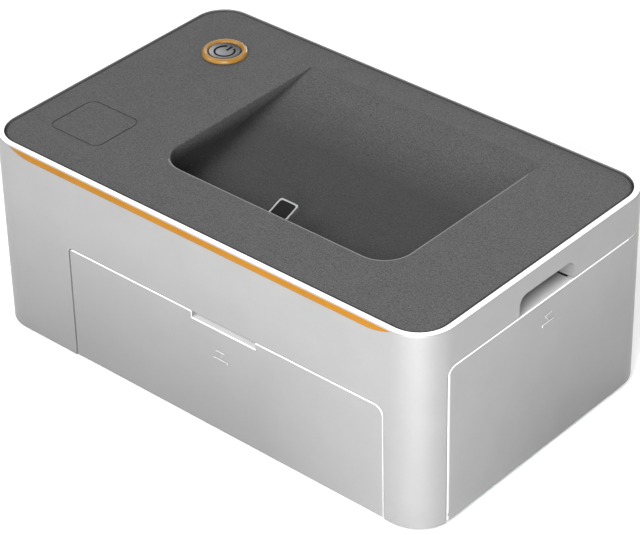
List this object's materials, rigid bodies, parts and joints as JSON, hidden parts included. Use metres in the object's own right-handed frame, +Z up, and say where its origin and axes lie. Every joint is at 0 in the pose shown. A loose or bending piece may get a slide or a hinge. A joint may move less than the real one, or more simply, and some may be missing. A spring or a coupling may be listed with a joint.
{
  "type": "compact photo printer",
  "caption": "Compact photo printer with a sloped dock recess on top, a hinged paper door in front and a hinged ribbon door at the side.",
  "frame": {"origin": "middle of the box at the height of the feet's undersides", "axes": "+X along the long side to the right, -Y out of the paper door, +Z up"},
  "size_m": [0.1661, 0.1023, 0.0658],
  "materials": {
    "upper_case": "satin moulded",
    "base_pan": "fine texture",
    "top_deck": "fine texture",
    "accent_stripe": "satin moulded",
    "button_ring": "satin moulded",
    "power_button": "satin moulded",
    "button_board": "fine texture",
    "button_switch": "fine texture",
    "front_door": "satin moulded",
    "front_hinge_pins": "plain steel",
    "side_door": "satin moulded",
    "side_hinge_pins": "plain steel",
    "paper_bay": "fine texture",
    "cartridge_bay": "fine texture",
    "dock_carrier": "fine texture",
    "dock_pin": "plain steel",
    "dock_plug_shell": "polished",
    "dock_plug_core": "fine texture",
    "rubber_feet": "matt",
    "case_screws": "plain steel",
    "left_plate": "plain steel",
    "right_plate": "plain steel",
    "tie_rods": "plain steel",
    "shaft_bushes": "fine texture",
    "platen_roller": "plain steel",
    "platen_rubber": "matt",
    "platen_gear": "fine texture",
    "capstan_roller": "plain steel",
    "capstan_gear": "fine texture",
    "pinch_roller": "plain steel",
    "pinch_springs": "plain steel",
    "pickup_shaft": "plain steel",
    "pickup_tyres": "matt",
    "pickup_gear": "fine texture",
    "pickup_idler": "fine texture",
    "reduction_gear": "fine texture",
    "gear_studs": "plain steel",
    "feed_motor": "plain steel",
    "motor_pinion": "machined",
    "paper_guide": "fine texture",
    "head_arm": "plain steel",
    "print_head": "extruded",
    "head_ceramic": "glazed",
    "head_pivot": "plain steel",
    "head_cam": "fine texture",
    "ribbon_cartridge": "fine texture",
    "supply_spool": "fine texture",
    "supply_roll": "satin moulded",
    "takeup_spool": "fine texture",
    "takeup_roll": "satin moulded",
    "takeup_gear": "fine texture",
    "ribbon_film": "satin moulded",
    "main_board": "fine texture",
    "board_screws": "plain steel",
    "power_inlet": "fine texture",
    "usb_port": "plain steel"
  },
  "bodies": {
    "case": {"upper_case": "upper_case", "base_pan": "base_pan", "top_deck": "top_deck", "accent_stripe": "accent_stripe", "button_ring": "button_ring", "button_board": "button_board", "button_switch": "button_switch", "front_hinge_pins": "front_hinge_pins", "side_hinge_pins": "side_hinge_pins", "paper_bay": "paper_bay", "cartridge_bay": "cartridge_bay", "dock_pin": "dock_pin", "rubber_feet": "rubber_feet", "case_screws": "case_screws", "left_plate": "left_plate", "right_plate": "right_plate", "tie_rods": "tie_rods", "shaft_bushes": "shaft_bushes", "pinch_springs": "pinch_springs", "gear_studs": "gear_studs", "feed_motor": "feed_motor", "paper_guide": "paper_guide", "head_pivot": "head_pivot", "ribbon_cartridge": "ribbon_cartridge", "ribbon_film": "ribbon_film", "main_board": "main_board", "board_screws": "board_screws", "power_inlet": "power_inlet", "usb_port": "usb_port"},
    "front_door_body": {"front_door": "front_door"},
    "side_door_body": {"side_door": "side_door"},
    "power_button_body": {"power_button": "power_button"},
    "dock_plug": {"dock_carrier": "dock_carrier", "dock_plug_shell": "dock_plug_shell", "dock_plug_core": "dock_plug_core"},
    "head": {"head_arm": "head_arm", "print_head": "print_head", "head_ceramic": "head_ceramic"},
    "cam": {"head_cam": "head_cam"},
    "capstan": {"capstan_roller": "capstan_roller", "capstan_gear": "capstan_gear"},
    "platen": {"platen_roller": "platen_roller", "platen_rubber": "platen_rubber", "platen_gear": "platen_gear"},
    "pinch": {"pinch_roller": "pinch_roller"},
    "pickup": {"pickup_shaft": "pickup_shaft", "pickup_tyres": "pickup_tyres", "pickup_gear": "pickup_gear"},
    "idler": {"pickup_idler": "pickup_idler"},
    "reduction": {"reduction_gear": "reduction_gear"},
    "pinion": {"motor_pinion": "motor_pinion"},
    "takeup": {"takeup_spool": "takeup_spool", "takeup_roll": "takeup_roll", "takeup_gear": "takeup_gear"},
    "supply": {"supply_spool": "supply_spool", "supply_roll": "supply_roll"}
  },
  "joints": [
    {"name": "front_door_hinge", "type": "hinge", "parent": "case", "child": "front_door_body", "pos_m": [0.00975, -0.0486, 0.0035], "axis": [1, 0, 0], "range_deg": [0, 90]},
    {"name": "side_door_hinge", "type": "hinge", "parent": "case", "child": "side_door_body", "pos_m": [0.0805, 0, 0.0035], "axis": [0, 1, 0], "range_deg": [0, 90]},
    {"name": "power_button_press", "type": "slide", "parent": "case", "child": "power_button_body", "axis": [0, 0, -1], "range_m": [0, 0.0008], "stiffness_N_per_m": 300},
    {"name": "dock_plug_tilt", "type": "hinge", "parent": "case", "child": "dock_plug", "pos_m": [0.0091, -0.0314, 0.0583], "axis": [1, 0, 0], "range_deg": [-12, 15]},
    {"name": "head_arm_tilt", "type": "hinge", "parent": "case", "child": "head", "pos_m": [0.00975, 0.043, 0.05], "axis": [1, 0, 0], "range_deg": [0, 4.21]},
    {"name": "head_cam_turn", "type": "hinge", "parent": "case", "child": "cam", "pos_m": [-0.058, 0.008, 0.046], "axis": [1, 0, 0], "range_deg": [0, 150.2]},
    {"name": "capstan_turn", "type": "hinge", "parent": "case", "child": "capstan", "pos_m": [-0.054, 0.038, 0.026], "axis": [1, 0, 0], "continuous": true},
    {"name": "platen_turn", "type": "hinge", "parent": "case", "child": "platen", "pos_m": [-0.054, 0.0115, 0.0239], "axis": [1, 0, 0], "continuous": true},
    {"name": "pinch_turn", "type": "hinge", "parent": "case", "child": "pinch", "pos_m": [-0.054, 0.038, 0.0341], "axis": [1, 0, 0], "continuous": true},
    {"name": "pickup_turn", "type": "hinge", "parent": "case", "child": "pickup", "pos_m": [-0.054, -0.014, 0.024], "axis": [1, 0, 0], "continuous": true},
    {"name": "idler_turn", "type": "hinge", "parent": "case", "child": "idler", "pos_m": [-0.054, -0.00125, 0.02282], "axis": [1, 0, 0], "continuous": true},
    {"name": "reduction_turn", "type": "hinge", "parent": "case", "child": "reduction", "pos_m": [-0.054, 0.02545, 0.01607], "axis": [1, 0, 0], "continuous": true},
    {"name": "motor_turn", "type": "hinge", "parent": "case", "child": "pinion", "pos_m": [-0.054, 0.03943, 0.01259], "axis": [1, 0, 0], "continuous": true},
    {"name": "takeup_turn", "type": "hinge", "parent": "case", "child": "takeup", "pos_m": [-0.054, 0.0265, 0.04285], "axis": [1, 0, 0], "continuous": true},
    {"name": "supply_turn", "type": "hinge", "parent": "case", "child": "supply", "pos_m": [-0.054, -0.0065, 0.0415], "axis": [1, 0, 0], "continuous": true}
  ],
  "couplings": [
    {"joint": "head_cam_turn", "follows": "head_arm_tilt", "ratio": 35.638},
    {"joint": "platen_turn", "follows": "capstan_turn", "ratio": 1},
    {"joint": "pinch_turn", "follows": "capstan_turn", "ratio": -1.4375},
    {"joint": "pickup_turn", "follows": "capstan_turn", "ratio": 1},
    {"joint": "idler_turn", "follows": "capstan_turn", "ratio": -1.6667},
    {"joint": "reduction_turn", "follows": "capstan_turn", "ratio": -1},
    {"joint": "motor_turn", "follows": "capstan_turn", "ratio": 3},
    {"joint": "takeup_turn", "follows": "capstan_turn", "ratio": -0.64516},
    {"joint": "supply_turn", "follows": "capstan_turn", "ratio": -0.44143}
  ]
}
